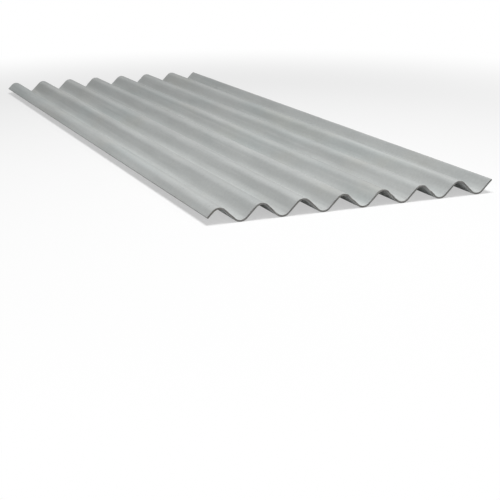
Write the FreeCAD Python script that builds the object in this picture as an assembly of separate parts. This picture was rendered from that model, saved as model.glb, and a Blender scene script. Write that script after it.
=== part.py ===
"""Corrugated fibre-cement roofing sheet, one solid, in millimetres.

The sheet is one wavy strip of constant thickness, extruded along its length. Its section runs along X,
its length along Y, and +Z is up. The origin is at the centre of the footprint, on the level that the
undersides of the troughs rest on.

The line at half thickness is made of equal arcs over the crests and under the troughs, joined by straight
flanks that are tangent to them. The left edge ends part way down a flank and the right edge ends just short
of a crest, so that neighbouring sheets lap by one corrugation. Both long edges are cut square to the
sheet's own surface and slightly rounded; the two ends are cut square to its length.
"""

import FreeCAD
import Part

import math
import os

NODE = "corrugated_sheet"

LENGTH = 3000.0  # along the corrugations
WIDTH = 1050.0  # across them, over both long edges
THICKNESS = 6.0
PITCH = 146.0  # crest to crest
DEPTH = 48.0  # crest to trough, on the same surface
BEND_RADIUS = 29.0  # of crests and troughs, at half thickness
EDGE_TO_CREST = 42.0  # left edge to the middle of the first crest
EDGE_ROUND = 1.0  # radius on the corners of both long edges

HALF_PITCH = PITCH / 2
HALF_THICKNESS = THICKNESS / 2
TROUGH_LEVEL = HALF_THICKNESS  # half-thickness line, above the level the sheet rests on
CREST_LEVEL = TROUGH_LEVEL + DEPTH
LEFT = -WIDTH / 2
RIGHT = WIDTH / 2
FIRST_CREST = LEFT + EDGE_TO_CREST

HALVINGS = 60  # when an edge's place is found by halving
SAME_POINT = 1e-6


def flank_angle():
    """Slope of the straight flank: the common tangent of a crest's circle and the next trough's."""
    rise = 2 * BEND_RADIUS - DEPTH
    centres_apart = math.hypot(HALF_PITCH, rise)
    return math.asin(2 * BEND_RADIUS / centres_apart) - math.atan2(rise, HALF_PITCH)


FLANK = flank_angle()
BEND_REACH = BEND_RADIUS * math.sin(FLANK)  # half the width of a crest's or trough's arc


def nearest_bend(x):
    """The middle of the crest or trough nearest to x, and +1 for a crest or -1 for a trough."""
    number = round((x - FIRST_CREST) / HALF_PITCH)
    return FIRST_CREST + number * HALF_PITCH, 1 if number % 2 == 0 else -1


def midline(x):
    """Height and slope angle of the half-thickness line at x."""
    middle, sign = nearest_bend(x)
    away = x - middle
    level = CREST_LEVEL if sign > 0 else TROUGH_LEVEL
    if abs(away) <= BEND_REACH:
        slope = math.asin(away / BEND_RADIUS)
        drop = BEND_RADIUS * (1 - math.cos(slope))
    else:
        slope = math.copysign(FLANK, away)
        drop = BEND_RADIUS * (1 - math.cos(FLANK)) + (abs(away) - BEND_REACH) * math.tan(FLANK)
    return level - sign * drop, -sign * slope


def surface_point(x, side):
    """The point square to the half-thickness line at x, on the upper (+1) or lower (-1) surface."""
    z, slope = midline(x)
    return FreeCAD.Vector(
        x - side * HALF_THICKNESS * math.sin(slope), 0, z + side * HALF_THICKNESS * math.cos(slope)
    )


def rounded_reach(x, side, outward):
    """How far outward (-1 left, +1 right) the rounded corner of a square-cut edge at x reaches."""
    slope = midline(x)[1]
    inset = EDGE_ROUND * (math.cos(slope) - outward * side * math.sin(slope))
    return outward * surface_point(x, side).x - inset + EDGE_ROUND


def edge_station(target, outward):
    """The x on the half-thickness line whose square-cut, rounded edge reaches to target."""
    inner, outer = target - outward * THICKNESS, target + outward * THICKNESS
    for _ in range(HALVINGS):
        middle = (inner + outer) / 2
        if max(rounded_reach(middle, side, outward) for side in (1, -1)) > outward * target:
            outer = middle
        else:
            inner = middle
    return middle


def stations():
    """The x of both edges, and of every point between them where an arc meets a flank."""
    first, last = edge_station(LEFT, -1), edge_station(RIGHT, 1)
    found = [first]
    bends = math.ceil(WIDTH / HALF_PITCH) + 2
    for number in range(-2, bends):
        middle = FIRST_CREST + number * HALF_PITCH
        found += [x for x in (middle - BEND_REACH, middle + BEND_REACH) if first < x < last]
    return found + [last]


def surface_line(side, joins):
    """One surface of the section from the left edge to the right, as arcs and straight flanks."""
    line = []
    for start, end in zip(joins, joins[1:]):
        middle = (start + end) / 2
        points = [surface_point(x, side) for x in (start, middle, end)]
        on_bend = abs(middle - nearest_bend(middle)[0]) < BEND_REACH
        curve = Part.Arc(*points) if on_bend else Part.LineSegment(points[0], points[2])
        line.append(curve.toShape())
    return line


def section():
    """The closed face of the section, in the plane y = 0."""
    joins = stations()
    upper, lower = surface_line(1, joins), surface_line(-1, joins)
    left_cut, right_cut = (
        Part.LineSegment(surface_point(x, 1), surface_point(x, -1)).toShape() for x in (joins[0], joins[-1])
    )
    return Part.Face(Part.Wire([*upper, right_cut, *reversed(lower), left_cut]))


def long_corners(solid):
    """The four corners that run the length of the sheet, two on each long edge."""
    corners = [surface_point(x, side) for x in (stations()[0], stations()[-1]) for side in (1, -1)]
    found = []
    for edge in solid.Edges:
        ends = [vertex.Point for vertex in edge.Vertexes]
        along = abs(ends[0].y - ends[-1].y) > LENGTH / 2
        if along and any(math.hypot(ends[0].x - c.x, ends[0].z - c.z) < SAME_POINT for c in corners):
            found.append(edge)
    return found


def corrugated_sheet():
    """The whole sheet, centred on the origin along its length."""
    solid = section().extrude(FreeCAD.Vector(0, LENGTH, 0))
    solid = solid.makeFillet(EDGE_ROUND, long_corners(solid))
    solid.translate(FreeCAD.Vector(0, -LENGTH / 2, 0))
    return solid


os.makedirs("parts", exist_ok=True)
sheet = corrugated_sheet()
sheet.exportStep(os.path.join("parts", NODE + ".step"))
box = sheet.BoundBox
print(f"{NODE}: valid {sheet.isValid()}, solids {len(sheet.Solids)}, volume {sheet.Volume / 1e6:.3f} litres")
print(f"x {box.XMin:.3f} {box.XMax:.3f}  y {box.YMin:.3f} {box.YMax:.3f}  z {box.ZMin:.3f} {box.ZMax:.3f}")
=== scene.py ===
"""Looks of a corrugated fibre-cement sheet, in metres, in the same frame as its CAD model.

The sheet is one wavy skin of constant thickness. It is built as a lattice, station by station across the
corrugations and row by row along them, with the small faults of a real one: a slight unevenness, rounded and
chipped arrises, and rough cut ends. Its finish, with painted light and shade along the wave, is worked out by
shader nodes.
"""

import math
import random

import bpy
from mathutils import Matrix, Vector, noise


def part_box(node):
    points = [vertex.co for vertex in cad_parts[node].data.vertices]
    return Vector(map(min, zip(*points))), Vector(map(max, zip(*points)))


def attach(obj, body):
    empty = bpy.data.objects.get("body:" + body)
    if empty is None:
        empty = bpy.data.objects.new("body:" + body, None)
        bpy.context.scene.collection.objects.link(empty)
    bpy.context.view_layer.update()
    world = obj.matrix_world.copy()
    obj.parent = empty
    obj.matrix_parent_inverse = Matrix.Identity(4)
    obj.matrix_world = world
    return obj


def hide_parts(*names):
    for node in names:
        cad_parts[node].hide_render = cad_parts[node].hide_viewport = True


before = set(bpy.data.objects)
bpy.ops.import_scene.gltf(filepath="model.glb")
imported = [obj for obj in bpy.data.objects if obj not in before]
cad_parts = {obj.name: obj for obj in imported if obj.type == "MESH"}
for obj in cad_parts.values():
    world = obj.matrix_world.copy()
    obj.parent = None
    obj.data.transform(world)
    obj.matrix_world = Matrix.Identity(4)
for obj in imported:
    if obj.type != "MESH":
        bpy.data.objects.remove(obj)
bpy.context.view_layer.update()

bl_info = {
    "name": "Corrugated fibre-cement sheet",
    "version": (1, 0, 0),
    "blender": (4, 5, 0),
    "location": "3D View > Sidebar > Sheet",
    "description": "Builds a corrugated fibre-cement sheet and a plain stage to show it on",
    "category": "Add Mesh",
}

NODE = "corrugated_sheet"
BODY = "root"
MM = 0.001

LOW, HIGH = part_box(NODE)
CENTRE = (LOW + HIGH) / 2

THROUGH_STEPS = 6  # layers of the lattice through the thickness
HALVINGS = 40  # when an edge's place is found by halving
SMOOTH_BELOW = math.radians(38)  # edges flatter than this are shaded smooth
END_ARRIS = 0.45  # rounding of the ends' arrises, as a share of the long edges'
CHIP_FALL = 0.6  # how far a chip drops the arris, as a share of how far it cuts it back
CHIP_REACH = 0.6  # how far below the middle a chip runs, as a share of half the thickness
CHIPPED_CRESTS = (3, 4, 5)  # crests with a larger chip where the flank falls away, counted from 0
SHOWS_CUT = 1.2 * MM  # a chip deeper than this shows only the rough inside
NEAR_END = [row * MM for row in (0, 5, 7.5, 11, 16, 24, 38)]  # mesh rows beside each end, where the chips are

# Brightness of the moulded faces along the wave, as shares of their colour: painted light in the troughs and
# beside the crests, painted shade on the flanks and on the line past each crest, and a darker crest.
PAINTED_TROUGH_LIGHT = 1.02
PAINTED_FLANK_SHADE = 0.895
PAINTED_SHOULDER_LIGHT = 1.10  # beside the crest, times the flank's
CREST_DARKENING_SHARE = 0.90  # over the crest, times the shoulder's
PAINTED_LINE_SHADE = 0.74  # in the line just past the crest, times the crest's

GLOW_FROM, GLOW_TO = 1.3, 3.2  # distances over which the floor turns plain white


# ---------------------------------------------------------------- what a user would change


class SheetShape(bpy.types.PropertyGroup):
    thickness: bpy.props.FloatProperty(
        name="Thickness", description="Of the sheet, square to its surface",
        default=6 * MM, min=1 * MM, subtype="DISTANCE", unit="LENGTH")
    pitch: bpy.props.FloatProperty(
        name="Pitch", description="From one crest to the next",
        default=146 * MM, subtype="DISTANCE", unit="LENGTH")
    bend_radius: bpy.props.FloatProperty(
        name="Bend radius", description="Of crests and troughs, at half thickness",
        default=29 * MM, subtype="DISTANCE", unit="LENGTH")
    edge_to_crest: bpy.props.FloatProperty(
        name="Edge to crest", description="From the left edge to the middle of the first crest",
        default=42 * MM, subtype="DISTANCE", unit="LENGTH")
    edge_round: bpy.props.FloatProperty(
        name="Edge rounding", description="Radius on the corners of the long edges",
        default=1 * MM, subtype="DISTANCE", unit="LENGTH")
    station_gap: bpy.props.FloatProperty(
        name="Station gap", description="Between mesh points across the corrugations",
        default=2.7 * MM, min=1 * MM, subtype="DISTANCE", unit="LENGTH")
    row_count: bpy.props.IntProperty(
        name="Rows", description="Mesh rows between the two end zones", default=52, min=4)
    unevenness: bpy.props.FloatProperty(
        name="Unevenness", description="How far the surface strays from true, top to bottom",
        default=0.9 * MM, subtype="DISTANCE", unit="LENGTH")
    saw_marks: bpy.props.FloatProperty(
        name="Saw marks", description="Roughness of the cut ends and edges",
        default=0.6 * MM, subtype="DISTANCE", unit="LENGTH")
    chip_depth: bpy.props.FloatProperty(
        name="Chip depth", description="Of the deepest chips on the arrises of the ends",
        default=4 * MM, subtype="DISTANCE", unit="LENGTH")
    chip_count: bpy.props.IntProperty(
        name="Chips", description="Small chips scattered along each end", default=22, min=0)
    seed: bpy.props.IntProperty(name="Seed", description="Places the chips", default=7)


class SheetFinish(bpy.types.PropertyGroup):
    face_colour: bpy.props.FloatVectorProperty(
        name="Face", description="Main colour of the moulded faces",
        size=3, default=(0.492, 0.508, 0.501), min=0, max=1, subtype="COLOR")
    cool_colour: bpy.props.FloatVectorProperty(
        name="Cool patches", description="Colour of the blue-green clouds on the faces",
        size=3, default=(0.430, 0.472, 0.470), min=0, max=1, subtype="COLOR")
    warm_colour: bpy.props.FloatVectorProperty(
        name="Warm patches", description="Colour of the buff clouds on the faces",
        size=3, default=(0.506, 0.508, 0.474), min=0, max=1, subtype="COLOR")
    bloom_colour: bpy.props.FloatVectorProperty(
        name="Lime bloom", description="Colour of the pale bloom along the corrugations",
        size=3, default=(0.590, 0.606, 0.596), min=0, max=1, subtype="COLOR")
    cut_colour: bpy.props.FloatVectorProperty(
        name="Cut", description="Main colour of the sawn ends and edges",
        size=3, default=(0.235, 0.232, 0.224), min=0, max=1, subtype="COLOR")
    cut_stain: bpy.props.FloatVectorProperty(
        name="Cut stain", description="Colour of the olive-brown stains on the cuts",
        size=3, default=(0.150, 0.135, 0.105), min=0, max=1, subtype="COLOR")


class SheetStage(bpy.types.PropertyGroup):
    key_power: bpy.props.FloatProperty(
        name="Key light", description="Power of the square lamp overhead, in watts", default=330, min=0)
    key_width: bpy.props.FloatProperty(
        name="Key width", description="Side of the square lamp overhead",
        default=2.4, subtype="DISTANCE", unit="LENGTH")
    key_height: bpy.props.FloatProperty(
        name="Key height", description="Of the lamp above the floor",
        default=5.8, subtype="DISTANCE", unit="LENGTH")
    sky_strength: bpy.props.FloatProperty(
        name="Sky", description="Strength of the even light from all round", default=0.14, min=0)
    floor_colour: bpy.props.FloatVectorProperty(
        name="Floor", description="Colour of the floor",
        size=3, default=(0.92, 0.92, 0.92), min=0, max=1, subtype="COLOR")
    floor_glow: bpy.props.FloatProperty(
        name="Floor glow", description="Share of plain white in what the camera sees of the floor",
        default=0.5, min=0, max=1, subtype="FACTOR")


# ---------------------------------------------------------------- the wave


class Wave:
    """The sheet's section: equal arcs over crests and under troughs, joined by straight flanks."""

    def __init__(self, shape):
        self.half_thickness = shape.thickness / 2
        self.half_pitch = shape.pitch / 2
        self.radius = shape.bend_radius
        self.rounding = shape.edge_round
        self.first_crest = LOW.x + shape.edge_to_crest
        depth = round((HIGH.z - LOW.z) / MM) * MM - shape.thickness
        self.trough_level = self.half_thickness
        self.crest_level = self.half_thickness + depth
        rise = 2 * self.radius - depth
        centres_apart = math.hypot(self.half_pitch, rise)
        self.flank = math.asin(2 * self.radius / centres_apart) - math.atan2(rise, self.half_pitch)
        self.bend_reach = self.radius * math.sin(self.flank)

    def crest(self, number):
        return self.first_crest + number * 2 * self.half_pitch

    def midline(self, x):
        """Height and slope angle of the half-thickness line at x."""
        number = round((x - self.first_crest) / self.half_pitch)
        sign = 1 if number % 2 == 0 else -1
        level = self.crest_level if sign > 0 else self.trough_level
        away = x - self.first_crest - number * self.half_pitch
        if abs(away) <= self.bend_reach:
            slope = math.asin(away / self.radius)
            drop = self.radius * (1 - math.cos(slope))
        else:
            slope = math.copysign(self.flank, away)
            drop = self.radius * (1 - math.cos(self.flank))
            drop += (abs(away) - self.bend_reach) * math.tan(self.flank)
        return level - sign * drop, -sign * slope

    def corner_reach(self, x, outward):
        """How far outward (-1 left, +1 right) the rounded corners of an edge cut at x reach."""
        slope = self.midline(x)[1]
        lean = (self.half_thickness - self.rounding) * abs(math.sin(slope))
        return outward * x - self.rounding * math.cos(slope) + lean + self.rounding

    def edge_station(self, target, outward):
        """The x where an edge cut square to the surface reaches out to target."""
        near = target - outward * 4 * self.half_thickness
        far = target + outward * 4 * self.half_thickness
        for _ in range(HALVINGS):
            middle = (near + far) / 2
            if self.corner_reach(middle, outward) > outward * target:
                far = middle
            else:
                near = middle
        return middle

    def stations(self, gap):
        """Places from edge to edge, evenly spaced along the wave."""
        last = self.edge_station(HIGH.x, 1)
        found = [self.edge_station(LOW.x, -1)]
        while found[-1] < last - gap:
            found.append(found[-1] + gap * math.cos(self.midline(found[-1])[1]))
        found[-1] = last
        return found


# ---------------------------------------------------------------- the sheet's mesh


def chips_along(wave, shape, end):
    """Chips on one end: (place across, half width, depth), some where flanks fall away from a crest."""
    draw = random.Random(shape.seed + end)
    chips = []
    for _ in range(shape.chip_count):
        chips.append((draw.uniform(LOW.x, HIGH.x), draw.uniform(3, 9) * MM,
                      shape.chip_depth * draw.uniform(0.2, 0.6)))
    for number in CHIPPED_CRESTS:
        place = wave.crest(number) + wave.bend_reach + draw.uniform(0, 8) * MM
        chips.append((place, draw.uniform(6, 11) * MM, shape.chip_depth * draw.uniform(0.7, 1.0)))
    return chips


def chip_inset(chips, x, through):
    """How far the chips cut back an end at x; through is +1 on the upper face and -1 on the lower."""
    reach = max(0.0, (through + CHIP_REACH) / (1 + CHIP_REACH)) ** 2
    inset = 0.0
    for place, half_width, depth in chips:
        away = abs(x - place) / half_width
        if away < 1:
            inset = max(inset, depth * (1 - away * away))
    return inset * reach


def row_places(shape):
    """Places along the sheet, close together at both ends."""
    inner = NEAR_END[-1]
    length = HIGH.y - LOW.y
    step = (length - 2 * inner) / shape.row_count
    middle = [inner + step * number for number in range(1, shape.row_count)]
    return [LOW.y + y for y in [*NEAR_END, *middle, *(length - y for y in reversed(NEAR_END))]]


def unevenness(x, y, height):
    """A slow rise and fall of the whole sheet, never below where it rests."""
    slow = noise.noise(Vector((x * 2.3, y * 1.1, 0.0)))
    quick = noise.noise(Vector((x * 14.0, y * 3.0, 5.0)))
    return height * min(1.0, max(0.0, 0.5 + 0.45 * slow + 0.2 * quick))


class SheetSkin:
    """The sheet's outer faces on a lattice: station across, layer through and row along."""

    def __init__(self, shape):
        self.shape = shape
        self.wave = Wave(shape)
        self.across = self.wave.stations(shape.station_gap)
        self.through = [math.cos(math.pi * j / THROUGH_STEPS) for j in range(THROUGH_STEPS + 1)]
        self.along = row_places(shape)
        self.last = (len(self.across) - 1, THROUGH_STEPS, len(self.along) - 1)
        self.chips = {row: chips_along(self.wave, shape, end) for end, row in enumerate((0, self.last[2]))}
        self.index, self.points = {}, []
        self.measures = {"depth_through": [], "slope": [], "broken": []}
        self.faces, self.cut = [], []
        for axis in range(3):
            for side in (0, self.last[axis]):
                self.add_side(axis, side)

    def add_side(self, axis, side):
        """All faces of one outer side: across (axis 0), through (axis 1) or along (axis 2)."""
        first_other, second_other = [k for k in range(3) if k != axis]
        outward = (side == 0) == (axis == 1)
        for p in range(self.last[first_other]):
            for q in range(self.last[second_other]):
                corners = []
                for dp, dq in ((0, 0), (1, 0), (1, 1), (0, 1)):
                    key = [0, 0, 0]
                    key[axis], key[first_other], key[second_other] = side, p + dp, q + dq
                    corners.append(self.point_number(*key))
                self.faces.append(corners if outward else corners[::-1])
                self.cut.append(axis != 1)

    def point_number(self, i, j, m):
        """The number of a lattice point, which is added when it is first asked for."""
        if (i, j, m) not in self.index:
            self.index[i, j, m] = len(self.points)
            self.points.append(self.place(i, j, m))
            self.measures["depth_through"].append((1 - self.through[j]) / 2)
            self.measures["slope"].append(self.wave.midline(self.across[i])[1] / self.wave.flank)
            self.measures["broken"].append(min(1.0, self.bite(i, j, m) / SHOWS_CUT))
        return self.index[i, j, m]

    def bite(self, i, j, m):
        """How far the chips cut a point back along the sheet."""
        return chip_inset(self.chips.get(m, []), self.across[i], self.through[j])

    def corner_inset(self, through):
        """How far the rounding of a corner holds a point back from a square edge."""
        wave = self.wave
        over = abs(through) * wave.half_thickness - (wave.half_thickness - wave.rounding)
        over = min(max(over, 0.0), wave.rounding)
        return wave.rounding - math.sqrt(wave.rounding ** 2 - over ** 2)

    def place(self, i, j, m):
        """Where a lattice point lies, with its rounding, saw marks, chips and unevenness."""
        shape, x, y, through = self.shape, self.across[i], self.along[m], self.through[j]
        z, slope = self.wave.midline(x)
        offset = through * self.wave.half_thickness
        tangent_shift = 0.0
        if i in (0, self.last[0]):
            inward = 1 if i == 0 else -1
            rough = shape.saw_marks * abs(noise.noise(Vector((y * 90, through * 2, inward * 3.0))))
            tangent_shift = inward * (self.corner_inset(through) + rough)
        if m in self.chips:
            inward = 1 if m == 0 else -1
            rough = shape.saw_marks * abs(noise.noise(Vector((x * 210, through * 3, z * 210))))
            bite = self.bite(i, j, m)
            y += inward * (max(self.corner_inset(through) * END_ARRIS, bite) + rough)
            offset -= bite * CHIP_FALL
        return (x - offset * math.sin(slope) + tangent_shift * math.cos(slope), y,
                z + offset * math.cos(slope) + tangent_shift * math.sin(slope)
                + unevenness(x, y, shape.unevenness))


# ---------------------------------------------------------------- shader node helpers


class Graph:
    """Adds and joins nodes in one node tree."""

    def __init__(self, tree):
        self.tree = tree

    def add(self, kind, inputs=None, **settings):
        node = self.tree.nodes.new(kind)
        for name, value in settings.items():
            setattr(node, name, value)
        for name, value in (inputs or {}).items():
            self.give(node.inputs[name], value)
        return node

    def give(self, socket, value):
        if isinstance(value, bpy.types.NodeSocket):
            self.tree.links.new(value, socket)
        else:
            socket.default_value = value

    def noise(self, vector, scale, detail=4.0, rough=0.55):
        inputs = {"Vector": vector, "Scale": scale, "Detail": detail, "Roughness": rough}
        return self.add("ShaderNodeTexNoise", inputs).outputs["Fac"]

    def stretched(self, vector, scale):
        inputs = {"Vector": vector, "Scale": scale}
        return self.add("ShaderNodeMapping", inputs).outputs["Vector"]

    def spread(self, value, low, high, to_low=0.0, to_high=1.0):
        inputs = {"Value": value, "From Min": low, "From Max": high, "To Min": to_low, "To Max": to_high}
        return self.add("ShaderNodeMapRange", inputs, interpolation_type="SMOOTHSTEP").outputs["Result"]

    def combine(self, operation, first, second):
        node = self.add("ShaderNodeMath", operation=operation)
        self.give(node.inputs[0], first)
        self.give(node.inputs[1], second)
        return node.outputs["Value"]

    def blend(self, factor, first, second, mode="MIX"):
        node = self.add("ShaderNodeMix", data_type="RGBA", blend_type=mode)
        self.give(node.inputs["Factor"], factor)
        self.give(node.inputs[6], first)
        self.give(node.inputs[7], second)
        return node.outputs[2]


def rgba(colour):
    return (*colour, 1.0)


def new_group(name, inputs, outputs):
    """An empty node group with the given sockets, each (name, kind, default)."""
    tree = bpy.data.node_groups.new(name, "ShaderNodeTree")
    for socket_name, kind, default in inputs:
        socket = tree.interface.new_socket(socket_name, in_out="INPUT", socket_type="NodeSocket" + kind)
        if default is not None:
            socket.default_value = default
    for socket_name, kind in outputs:
        tree.interface.new_socket(socket_name, in_out="OUTPUT", socket_type="NodeSocket" + kind)
    graph = Graph(tree)
    return graph, graph.add("NodeGroupInput").outputs, graph.add("NodeGroupOutput").inputs


def cement_clouds():
    """Two colours drift over a main one in soft clouds."""
    graph, given, out = new_group(
        "cement_clouds",
        [("Vector", "Vector", None), ("Main", "Color", None), ("Cool", "Color", None),
         ("Warm", "Color", None), ("Size", "Float", 1.0)],
        [("Color", "Color")])
    scaled = graph.add("ShaderNodeVectorMath", operation="SCALE")
    graph.give(scaled.inputs[0], given["Vector"])
    graph.give(scaled.inputs["Scale"], given["Size"])
    place = scaled.outputs["Vector"]
    cool = graph.spread(graph.noise(graph.stretched(place, (4.2, 1.3, 4.2)), 1.0), 0.46, 0.70, 0, 0.50)
    warm = graph.spread(graph.noise(graph.stretched(place, (3.1, 1.9, 3.1)), 1.3), 0.50, 0.72, 0, 0.45)
    colour = graph.blend(cool, given["Main"], given["Cool"])
    graph.give(out["Color"], graph.blend(warm, colour, given["Warm"]))
    return graph.tree


def cement_grain():
    """Fine cement grain and pinholes, as a mask around one half and as a height."""
    graph, given, out = new_group(
        "cement_grain",
        [("Vector", "Vector", None), ("Coarseness", "Float", 1.0)],
        [("Mask", "Float"), ("Height", "Float")])
    scaled = graph.add("ShaderNodeVectorMath", operation="SCALE")
    graph.give(scaled.inputs[0], given["Vector"])
    graph.give(scaled.inputs["Scale"], given["Coarseness"])
    place = scaled.outputs["Vector"]
    fine = graph.noise(place, 620.0, 3.0, 0.6)
    broad = graph.noise(place, 95.0, 4.0, 0.6)
    cells = graph.add("ShaderNodeTexVoronoi", {"Vector": place, "Scale": 210.0}).outputs["Distance"]
    pinholes = graph.spread(cells, 0.05, 0.16)
    mask = graph.combine("ADD", graph.combine("MULTIPLY", fine, 0.5), graph.combine("MULTIPLY", broad, 0.5))
    graph.give(out["Mask"], mask)
    height = graph.combine("ADD", mask, graph.combine("MULTIPLY", pinholes, 0.35))
    graph.give(out["Height"], height)
    return graph.tree


def group_node(graph, tree, inputs):
    node = graph.add("ShaderNodeGroup", node_tree=tree)
    for name, value in inputs.items():
        graph.give(node.inputs[name], value)
    return node.outputs


def new_material(name):
    material = bpy.data.materials.new(name)
    material.use_nodes = True
    material.node_tree.nodes.clear()
    graph = Graph(material.node_tree)
    place = graph.add("ShaderNodeTexCoord").outputs["Object"]
    return material, graph, place


def finish_shader(graph, colour, roughness, height, bump_strength, bump_distance, specular):
    bump = graph.add("ShaderNodeBump", {"Height": height, "Strength": bump_strength,
                                        "Distance": bump_distance})
    shader = graph.add("ShaderNodeBsdfPrincipled", {
        "Base Color": colour, "Roughness": roughness, "Specular IOR Level": specular,
        "Normal": bump.outputs["Normal"]})
    output = graph.add("ShaderNodeOutputMaterial")
    graph.give(output.inputs["Surface"], shader.outputs["BSDF"])


def painted_bands_along(graph, place):
    """Painted light and shade along the wave: pale troughs and shoulders, darker flanks and crests, and a
    dark line of painted shade past each crest.
    """
    slope = graph.add("ShaderNodeAttribute", attribute_name="slope").outputs["Fac"]
    height = graph.add("ShaderNodeSeparateXYZ", {"Vector": place}).outputs["Z"]
    # painted light in the troughs and painted shade on the flanks, set by height
    trough = graph.spread(height, HIGH.z * 0.25, HIGH.z * 0.52, PAINTED_TROUGH_LIGHT, PAINTED_FLANK_SHADE)
    shoulder = graph.spread(height, HIGH.z * 0.74, HIGH.z * 0.97, 1.0, PAINTED_SHOULDER_LIGHT)
    near_crest = graph.spread(height, HIGH.z * 0.62, HIGH.z * 0.84)
    crest_darkening = graph.combine("MULTIPLY", near_crest, graph.spread(slope, 0.5, -0.3))
    # painted shade on the falling flank just past each crest
    past_crest = graph.combine("MULTIPLY", near_crest, graph.spread(slope, -0.45, -0.85))
    crest = graph.combine("MULTIPLY", graph.spread(crest_darkening, 0.0, 1.0, 1.0, CREST_DARKENING_SHARE),
                          graph.spread(past_crest, 0.0, 1.0, 1.0, PAINTED_LINE_SHADE))
    return graph.combine("MULTIPLY", graph.combine("MULTIPLY", trough, shoulder), crest)


def moulded_face(finish, clouds, grain):
    """Pale, matt cement: clouded, with lengthwise streaks and a lime bloom, and painted light and shade along
    the wave.
    """
    material, graph, place = new_material("fibre_cement_face")
    colour = group_node(graph, clouds, {
        "Vector": place, "Main": rgba(finish.face_colour), "Cool": rgba(finish.cool_colour),
        "Warm": rgba(finish.warm_colour), "Size": 1.0})["Color"]
    streak = graph.noise(graph.stretched(place, (48.0, 0.9, 48.0)), 1.0, 5.0, 0.6)
    bloom = graph.spread(streak, 0.48, 0.72, 0.0, 0.5)
    colour = graph.blend(bloom, colour, rgba(finish.bloom_colour))
    broken = graph.add("ShaderNodeAttribute", attribute_name="broken").outputs["Fac"]
    colour = graph.blend(graph.spread(broken, 0.15, 0.6), colour, rgba(finish.cut_colour))
    smear = graph.spread(graph.noise(graph.stretched(place, (17.0, 2.4, 17.0)), 1.0), 0.3, 0.7, 0.93, 1.05)
    specks = group_node(graph, grain, {"Vector": place, "Coarseness": 1.0})
    spots = graph.add("ShaderNodeTexVoronoi", {"Vector": place, "Scale": 17.0}).outputs["Distance"]
    spot_shade = graph.spread(spots, 0.022, 0.05, 0.70, 1.0)
    # the smear and spots are marks of the cement itself; the bands along the wave are painted light and shade
    wear_and_painted_shade = graph.combine("MULTIPLY", graph.combine("MULTIPLY", smear, painted_bands_along(graph, place)), spot_shade)
    shade = graph.combine("MULTIPLY", wear_and_painted_shade, graph.spread(specks["Mask"], 0.35, 0.65, 0.94, 1.045))
    toned = graph.add("ShaderNodeVectorMath", operation="SCALE")
    graph.give(toned.inputs[0], colour)
    graph.give(toned.inputs["Scale"], shade)
    roughness = graph.spread(streak, 0.3, 0.7, 0.86, 0.70)
    finish_shader(graph, toned.outputs["Vector"], roughness, specks["Height"], 0.55, 0.4 * MM, 0.35)
    return material


def sawn_cut(finish, clouds, grain):
    """Darker, rough cement, with the thin layers it was rolled from showing as lines."""
    material, graph, place = new_material("fibre_cement_cut")
    colour = group_node(graph, clouds, {
        "Vector": place, "Main": rgba(finish.cut_colour), "Cool": rgba(finish.cut_colour),
        "Warm": rgba(finish.cut_stain), "Size": 9.0})["Color"]
    depth = graph.add("ShaderNodeAttribute", attribute_name="depth_through").outputs["Fac"]
    wander = graph.noise(place, 60.0, 2.0)
    layers = graph.combine("SINE", graph.combine(
        "ADD", graph.combine("MULTIPLY", depth, 34.0), graph.combine("MULTIPLY", wander, 5.0)), 0.0)
    layer_shade = graph.spread(layers, -1.0, 1.0, 0.84, 1.12)
    arris = graph.spread(depth, 0.0, 0.12, 0.80, 1.0)
    specks = group_node(graph, grain, {"Vector": place, "Coarseness": 0.6})
    shade = graph.combine("MULTIPLY", graph.combine("MULTIPLY", layer_shade, arris),
                          graph.spread(specks["Mask"], 0.3, 0.7, 0.72, 1.3))
    toned = graph.add("ShaderNodeVectorMath", operation="SCALE")
    graph.give(toned.inputs[0], colour)
    graph.give(toned.inputs["Scale"], shade)
    roughness = graph.spread(specks["Mask"], 0.3, 0.7, 0.82, 0.96)
    finish_shader(graph, toned.outputs["Vector"], roughness, specks["Height"], 0.8, 0.8 * MM, 0.25)
    return material


# ---------------------------------------------------------------- operators


class BuildSheet(bpy.types.Operator):
    """Build the corrugated sheet in place of its CAD solid"""

    bl_idname = "sheet.build_sheet"
    bl_label = "Corrugated sheet"

    def execute(self, context):
        shape, finish = context.scene.sheet_shape, context.scene.sheet_finish
        skin = SheetSkin(shape)
        mesh = bpy.data.meshes.new("fibre_cement_sheet")
        mesh.from_pydata(skin.points, [], skin.faces)
        if mesh.validate():
            raise RuntimeError("the sheet's mesh has faulty faces")
        clouds, grain = cement_clouds(), cement_grain()
        mesh.materials.append(moulded_face(finish, clouds, grain))
        mesh.materials.append(sawn_cut(finish, clouds, grain))
        mesh.polygons.foreach_set("material_index", skin.cut)
        mesh.polygons.foreach_set("use_smooth", [True] * len(skin.faces))
        for name, values in skin.measures.items():
            mesh.attributes.new(name, "FLOAT", "POINT").data.foreach_set("value", values)
        mesh.set_sharp_from_angle(angle=SMOOTH_BELOW)
        sheet = bpy.data.objects.new("fibre_cement_sheet", mesh)
        context.scene.collection.objects.link(sheet)
        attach(sheet, BODY)
        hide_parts(NODE)
        return {"FINISHED"}


def seen_directly(graph):
    """1 for what the camera sees, itself or by reflection or through glass, and 0 for plain light."""
    paths = graph.add("ShaderNodeLightPath").outputs
    by_gloss = graph.combine("MAXIMUM", paths["Is Glossy Ray"], paths["Is Transmission Ray"])
    return graph.combine("MAXIMUM", paths["Is Camera Ray"], by_gloss)


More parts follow.
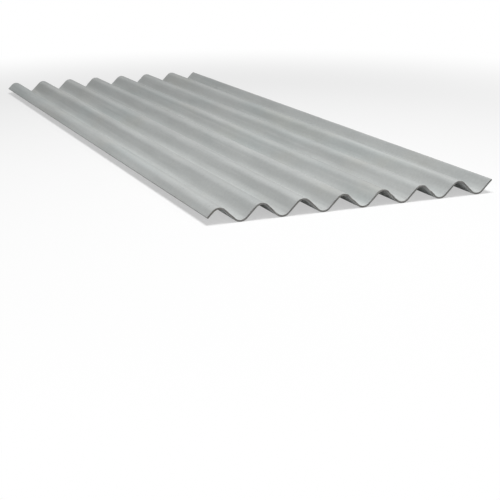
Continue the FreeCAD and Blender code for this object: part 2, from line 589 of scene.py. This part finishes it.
def white_to_the_camera(look):
    """A floor material: plain and pale, and part plain white where it is seen directly."""
    material = bpy.data.materials.new("stage_floor")
    material.use_nodes = True
    material.node_tree.nodes.clear()
    graph = Graph(material.node_tree)
    distance = graph.add("ShaderNodeVectorMath", operation="LENGTH")
    graph.give(distance.inputs[0], graph.add("ShaderNodeTexCoord").outputs["Object"])
    glow_here = graph.spread(distance.outputs["Value"], GLOW_FROM, GLOW_TO, look.floor_glow, 1.0)
    share = graph.combine("MULTIPLY", seen_directly(graph), glow_here)
    matt = graph.add("ShaderNodeBsdfDiffuse", {"Color": rgba(look.floor_colour)})
    glow = graph.add("ShaderNodeEmission", {"Color": (1, 1, 1, 1), "Strength": 1.0})
    mixed = graph.add("ShaderNodeMixShader", {"Fac": share})
    graph.give(mixed.inputs[1], matt.outputs["BSDF"])
    graph.give(mixed.inputs[2], glow.outputs["Emission"])
    output = graph.add("ShaderNodeOutputMaterial")
    graph.give(output.inputs["Surface"], mixed.outputs["Shader"])
    return material


class BuildStage(bpy.types.Operator):
    """Set out the floor, the lights and the camera"""

    bl_idname = "sheet.build_stage"
    bl_label = "Stage"

    FLOOR_HALF = 60.0
    CAMERA_PLACE = (-1.7965, -4.9298, 0.9808)
    CAMERA_TURN = math.radians(22.443)
    CAMERA_DIP = math.radians(16.183)
    CAMERA_ROLL = math.radians(-0.609)
    CAMERA_LENS = 86.907
    KEY_AHEAD = 0.4  # how far the lamp stands in front of the sheet's near end
    KEY_ASIDE = 0.1  # and to the left of its middle

    def execute(self, context):
        self.floor(context)
        self.key_light(context)
        self.sky(context)
        self.camera(context)
        context.scene.view_settings.view_transform = "Standard"
        return {"FINISHED"}

    def floor(self, context):
        half = self.FLOOR_HALF
        mesh = bpy.data.meshes.new("stage_floor")
        mesh.from_pydata([(-half, -half, 0), (half, -half, 0), (half, half, 0), (-half, half, 0)],
                         [], [(0, 1, 2, 3)])
        mesh.materials.append(white_to_the_camera(context.scene.sheet_stage))
        floor = bpy.data.objects.new("stage_floor", mesh)
        context.scene.collection.objects.link(floor)

    def key_light(self, context):
        look = context.scene.sheet_stage
        data = bpy.data.lights.new("key_light", "AREA")
        data.energy = look.key_power
        data.size = look.key_width
        key = bpy.data.objects.new("key_light", data)
        key.location = (CENTRE.x - self.KEY_ASIDE, LOW.y - self.KEY_AHEAD, look.key_height)
        context.scene.collection.objects.link(key)

    def sky(self, context):
        world = bpy.data.worlds.new("plain_sky")
        world.use_nodes = True
        world.node_tree.nodes.clear()
        graph = Graph(world.node_tree)
        sky = context.scene.sheet_stage.sky_strength
        strength = graph.spread(seen_directly(graph), 0.0, 1.0, sky, 1.0)
        backdrop = graph.add("ShaderNodeBackground", {"Color": (1, 1, 1, 1), "Strength": strength})
        output = graph.add("ShaderNodeOutputWorld")
        graph.give(output.inputs["Surface"], backdrop.outputs["Background"])
        context.scene.world = world

    def camera(self, context):
        data = bpy.data.cameras.new("camera")
        data.sensor_width = 36.0
        data.lens = self.CAMERA_LENS
        camera = bpy.data.objects.new("camera", data)
        upright = Matrix.Rotation(math.pi / 2 - self.CAMERA_DIP, 4, "X")
        turned = Matrix.Rotation(-self.CAMERA_TURN, 4, "Z")
        rolled = Matrix.Rotation(self.CAMERA_ROLL, 4, "Z")
        camera.matrix_world = Matrix.Translation(self.CAMERA_PLACE) @ turned @ upright @ rolled
        context.scene.collection.objects.link(camera)
        context.scene.camera = camera


class SheetPanel(bpy.types.Panel):
    """Lists what can be built, with its sizes and colours"""

    bl_idname = "VIEW3D_PT_corrugated_sheet"
    bl_label = "Corrugated sheet"
    bl_space_type = "VIEW_3D"
    bl_region_type = "UI"
    bl_category = "Sheet"

    def draw(self, context):
        scene = context.scene
        for settings in (scene.sheet_shape, scene.sheet_finish, scene.sheet_stage):
            box = self.layout.box()
            for name in settings.__annotations__:
                box.prop(settings, name)
        self.layout.operator(BuildSheet.bl_idname)
        self.layout.operator(BuildStage.bl_idname)


GROUPS = {"sheet_shape": SheetShape, "sheet_finish": SheetFinish, "sheet_stage": SheetStage}
CLASSES = (*GROUPS.values(), BuildSheet, BuildStage, SheetPanel)


def register():
    for each in CLASSES:
        bpy.utils.register_class(each)
    for name, group in GROUPS.items():
        setattr(bpy.types.Scene, name, bpy.props.PointerProperty(type=group))


def unregister():
    for name in GROUPS:
        delattr(bpy.types.Scene, name)
    for each in reversed(CLASSES):
        bpy.utils.unregister_class(each)


def main():
    register()
    bpy.ops.sheet.build_sheet()
    bpy.ops.sheet.build_stage()


if __name__ == "__main__":
    main()
